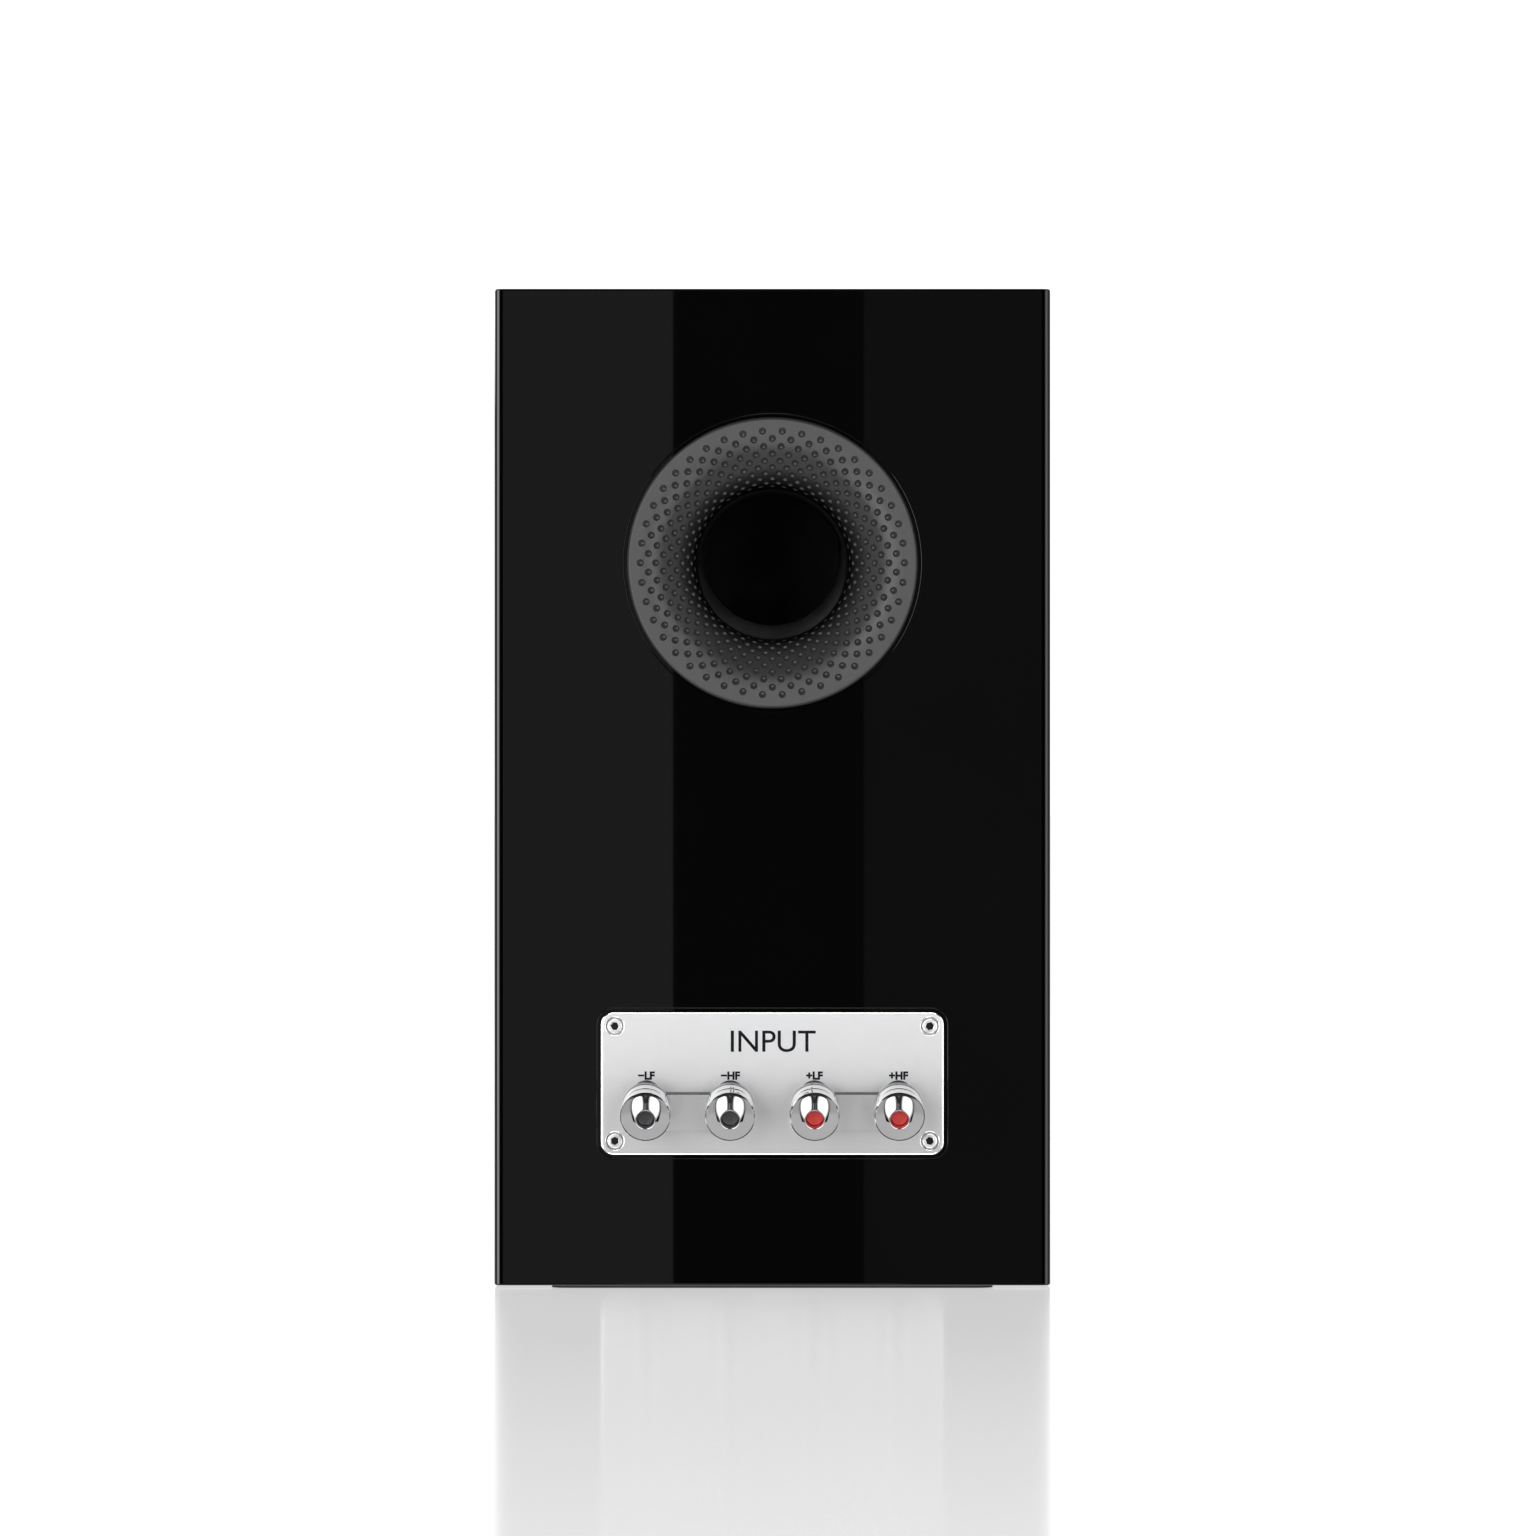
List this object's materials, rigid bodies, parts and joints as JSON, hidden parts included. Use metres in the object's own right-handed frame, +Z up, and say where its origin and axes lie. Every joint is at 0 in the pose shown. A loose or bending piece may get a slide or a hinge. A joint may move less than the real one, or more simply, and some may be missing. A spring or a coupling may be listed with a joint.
{
  "type": "bookshelf speaker",
  "caption": "Rear-ported bookshelf speaker with a gloss black cabinet, dimpled port flare, metal terminal plate and angled chrome binding posts with link plates.",
  "frame": {"origin": "centre of the bounding box on the surface that the speaker stands on", "axes": "+Z up, the front with the drivers faces -Y, the rear with the port and terminals faces +Y, +X is to the right of someone facing the front baffle"},
  "size_m": [0.192, 0.2994, 0.345],
  "materials": {
    "cabinet_lacquer": "high-gloss black lacquer over board",
    "bare_board": "raw fibreboard",
    "base_rubber": "matt dark grey rubber",
    "insert_brass": "turned brass",
    "foam": "open-cell foam",
    "gasket_foam": "closed-cell gasket foam",
    "port_plastic": "satin dark grey plastic",
    "tube_plastic": "matt black plastic",
    "plate_metal": "satin anodised with a polished bevel",
    "screw_steel": "bright steel",
    "knob_chrome": "polished",
    "post_brass": "plated brass",
    "post_plastic": "matt black insulator",
    "plug_grey": "dark grey plastic",
    "plug_red": "red plastic",
    "link_metal": "satin nickel plate",
    "frame_metal": "matt black paint",
    "motor_steel": "zinc-plated steel",
    "ferrite": "sintered ferrite",
    "spider_cloth": "resin-dipped corrugated cloth",
    "coil_wire": "enamelled copper winding",
    "cone_paper": "coated black fibre",
    "surround_rubber": "satin black rubber",
    "trim_metal": "dark anodised",
    "black_screw": "black-oxide steel",
    "guard_mesh": "black perforated steel",
    "dome_cloth": "coated black fabric",
    "board_brown": "brown phenolic board",
    "capacitor_film": "yellow film wrap",
    "resistor_ceramic": "white ceramic",
    "wire_sleeve": "red and black wire sleeves"
  },
  "bodies": {
    "cabinet": {"left_side_panel": "cabinet_lacquer", "right_side_panel": "cabinet_lacquer", "top_panel": "cabinet_lacquer", "bottom_panel": "cabinet_lacquer", "rear_panel": "cabinet_lacquer", "front_baffle": "cabinet_lacquer", "shelf_brace": "bare_board", "base_pad": "base_rubber", "stand_inserts": "insert_brass", "acoustic_foam": "foam", "port_gasket": "gasket_foam", "port_flare": "port_plastic", "port_tube": "tube_plastic", "port_inner_flare": "port_plastic", "terminal_gasket": "gasket_foam", "terminal_plate": "plate_metal", "terminal_screws": "screw_steel", "post_insulators": "post_plastic", "post_studs": "post_brass", "post_nuts": "post_brass", "solder_tags": "post_brass", "woofer_basket": "frame_metal", "woofer_top_plate": "motor_steel", "woofer_magnet": "ferrite", "woofer_yoke": "motor_steel", "woofer_spider": "spider_cloth", "woofer_surround": "surround_rubber", "woofer_trim_ring": "trim_metal", "woofer_screws": "black_screw", "tweeter_faceplate": "trim_metal", "tweeter_guard": "guard_mesh", "tweeter_surround": "dome_cloth", "tweeter_magnet": "ferrite", "tweeter_pole_pieces": "motor_steel", "tweeter_rear_chamber": "frame_metal", "tweeter_screws": "black_screw", "crossover_board": "board_brown", "inductors": "coil_wire", "capacitors": "capacitor_film", "resistors": "resistor_ceramic", "internal_wiring": "wire_sleeve"},
    "low_minus_washer": {"low_minus_washer": "knob_chrome"},
    "low_minus_knob": {"low_minus_knob": "knob_chrome"},
    "low_minus_plug": {"low_minus_plug": "plug_grey"},
    "high_minus_washer": {"high_minus_washer": "knob_chrome"},
    "high_minus_knob": {"high_minus_knob": "knob_chrome"},
    "high_minus_plug": {"high_minus_plug": "plug_grey"},
    "low_plus_washer": {"low_plus_washer": "knob_chrome"},
    "low_plus_knob": {"low_plus_knob": "knob_chrome"},
    "low_plus_plug": {"low_plus_plug": "plug_red"},
    "high_plus_washer": {"high_plus_washer": "knob_chrome"},
    "high_plus_knob": {"high_plus_knob": "knob_chrome"},
    "high_plus_plug": {"high_plus_plug": "plug_red"},
    "minus_link": {"minus_link": "link_metal"},
    "plus_link": {"plus_link": "link_metal"},
    "woofer_diaphragm": {"woofer_cone": "cone_paper", "woofer_dust_cap": "cone_paper", "woofer_voice_coil": "coil_wire"},
    "tweeter_diaphragm": {"tweeter_dome": "dome_cloth", "tweeter_voice_coil": "coil_wire"}
  },
  "joints": [
    {"name": "low_minus_washer_slide", "type": "slide", "parent": "cabinet", "child": "low_minus_washer", "axis": [0, 0.9563, -0.2924], "range_m": [0, 0.005]},
    {"name": "low_minus_knob_turn", "type": "hinge", "parent": "low_minus_washer", "child": "low_minus_knob", "pos_m": [0.0435, 0.12482, 0.0664], "axis": [0, 0.9563, -0.2924], "range_deg": [0, 1800]},
    {"name": "low_minus_plug_pull", "type": "slide", "parent": "low_minus_knob", "child": "low_minus_plug", "axis": [0, 0.9563, -0.2924], "range_m": [0, 0.016]},
    {"name": "high_minus_washer_slide", "type": "slide", "parent": "cabinet", "child": "high_minus_washer", "axis": [0, 0.9563, -0.2924], "range_m": [0, 0.005]},
    {"name": "high_minus_knob_turn", "type": "hinge", "parent": "high_minus_washer", "child": "high_minus_knob", "pos_m": [0.0145, 0.12482, 0.0664], "axis": [0, 0.9563, -0.2924], "range_deg": [0, 1800]},
    {"name": "high_minus_plug_pull", "type": "slide", "parent": "high_minus_knob", "child": "high_minus_plug", "axis": [0, 0.9563, -0.2924], "range_m": [0, 0.016]},
    {"name": "low_plus_washer_slide", "type": "slide", "parent": "cabinet", "child": "low_plus_washer", "axis": [0, 0.9563, -0.2924], "range_m": [0, 0.005]},
    {"name": "low_plus_knob_turn", "type": "hinge", "parent": "low_plus_washer", "child": "low_plus_knob", "pos_m": [-0.0145, 0.12482, 0.0664], "axis": [0, 0.9563, -0.2924], "range_deg": [0, 1800]},
    {"name": "low_plus_plug_pull", "type": "slide", "parent": "low_plus_knob", "child": "low_plus_plug", "axis": [0, 0.9563, -0.2924], "range_m": [0, 0.016]},
    {"name": "high_plus_washer_slide", "type": "slide", "parent": "cabinet", "child": "high_plus_washer", "axis": [0, 0.9563, -0.2924], "range_m": [0, 0.005]},
    {"name": "high_plus_knob_turn", "type": "hinge", "parent": "high_plus_washer", "child": "high_plus_knob", "pos_m": [-0.0435, 0.12482, 0.0664], "axis": [0, 0.9563, -0.2924], "range_deg": [0, 1800]},
    {"name": "high_plus_plug_pull", "type": "slide", "parent": "high_plus_knob", "child": "high_plus_plug", "axis": [0, 0.9563, -0.2924], "range_m": [0, 0.016]},
    {"name": "minus_link_drop", "type": "slide", "parent": "cabinet", "child": "minus_link", "axis": [0, -0.2924, -0.9563], "range_m": [0, 0.007]},
    {"name": "plus_link_drop", "type": "slide", "parent": "cabinet", "child": "plus_link", "axis": [0, -0.2924, -0.9563], "range_m": [0, 0.007]},
    {"name": "woofer_cone_travel", "type": "slide", "parent": "cabinet", "child": "woofer_diaphragm", "axis": [0, -1, 0], "range_m": [-0.005, 0.005], "stiffness_N_per_m": 1500, "deforming": ["woofer_surround", "woofer_spider"]},
    {"name": "tweeter_dome_travel", "type": "slide", "parent": "cabinet", "child": "tweeter_diaphragm", "axis": [0, -1, 0], "range_m": [-0.0004, 0.0004], "stiffness_N_per_m": 200, "deforming": ["tweeter_surround"]}
  ],
  "couplings": [
    {"joint": "low_minus_knob_turn", "follows": "low_minus_washer_slide", "rad_per_m": 6283.1},
    {"joint": "high_minus_knob_turn", "follows": "high_minus_washer_slide", "rad_per_m": 6283.1},
    {"joint": "low_plus_knob_turn", "follows": "low_plus_washer_slide", "rad_per_m": 6283.1},
    {"joint": "high_plus_knob_turn", "follows": "high_plus_washer_slide", "rad_per_m": 6283.1}
  ]
}
